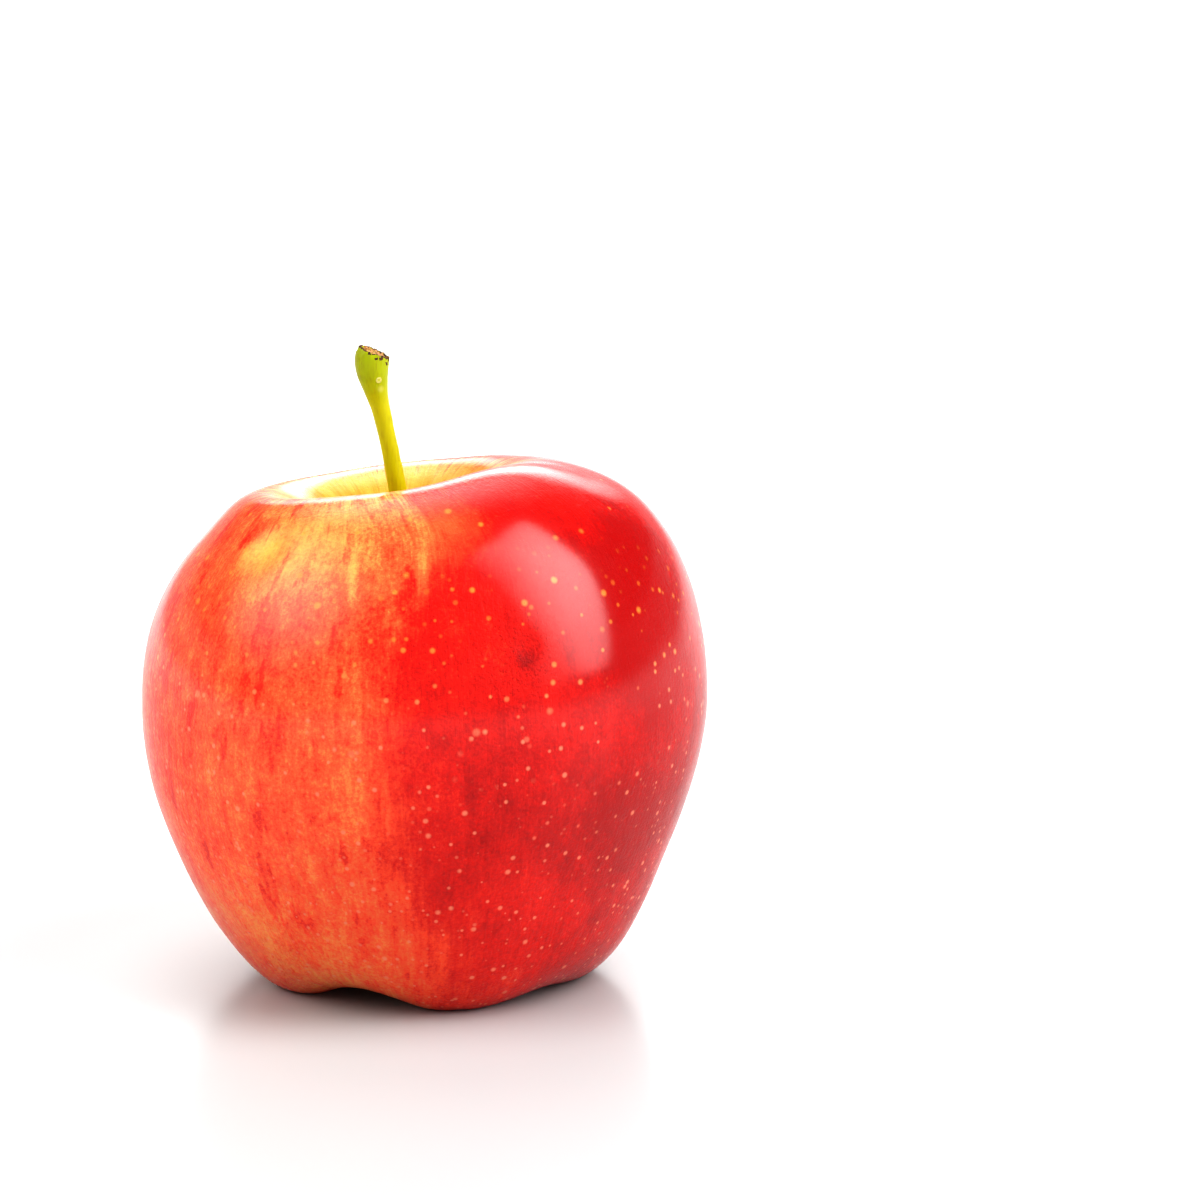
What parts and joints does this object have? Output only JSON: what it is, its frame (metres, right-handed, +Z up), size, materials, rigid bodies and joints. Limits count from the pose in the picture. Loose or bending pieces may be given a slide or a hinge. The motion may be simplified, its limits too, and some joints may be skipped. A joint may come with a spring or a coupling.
{
  "type": "red apple",
  "caption": "Fresh red apple with a woody stem in its cavity, standing on the lobes around the basin that holds its dried sepals.",
  "frame": {"origin": "on the ground under the middle of the fruit", "axes": "+Z up along the stem, -Y towards the front, +X to the right seen from the front"},
  "size_m": [0.0752, 0.0752, 0.0845],
  "materials": {
    "skin": "glossy waxed fruit skin, red over a yellow ground, with fine streaks and pale dots",
    "stem": "smooth young bark, yellow-green, with a brown frayed cut end",
    "sepals": "dry, papery and slightly hairy",
    "stamens": "dry and dark"
  },
  "bodies": {
    "root": {"fruit": "skin", "stem": "stem", "sepal_1": "sepals", "sepal_2": "sepals", "sepal_3": "sepals", "sepal_4": "sepals", "sepal_5": "sepals", "stamens": "stamens"}
  },
  "joints": []
}
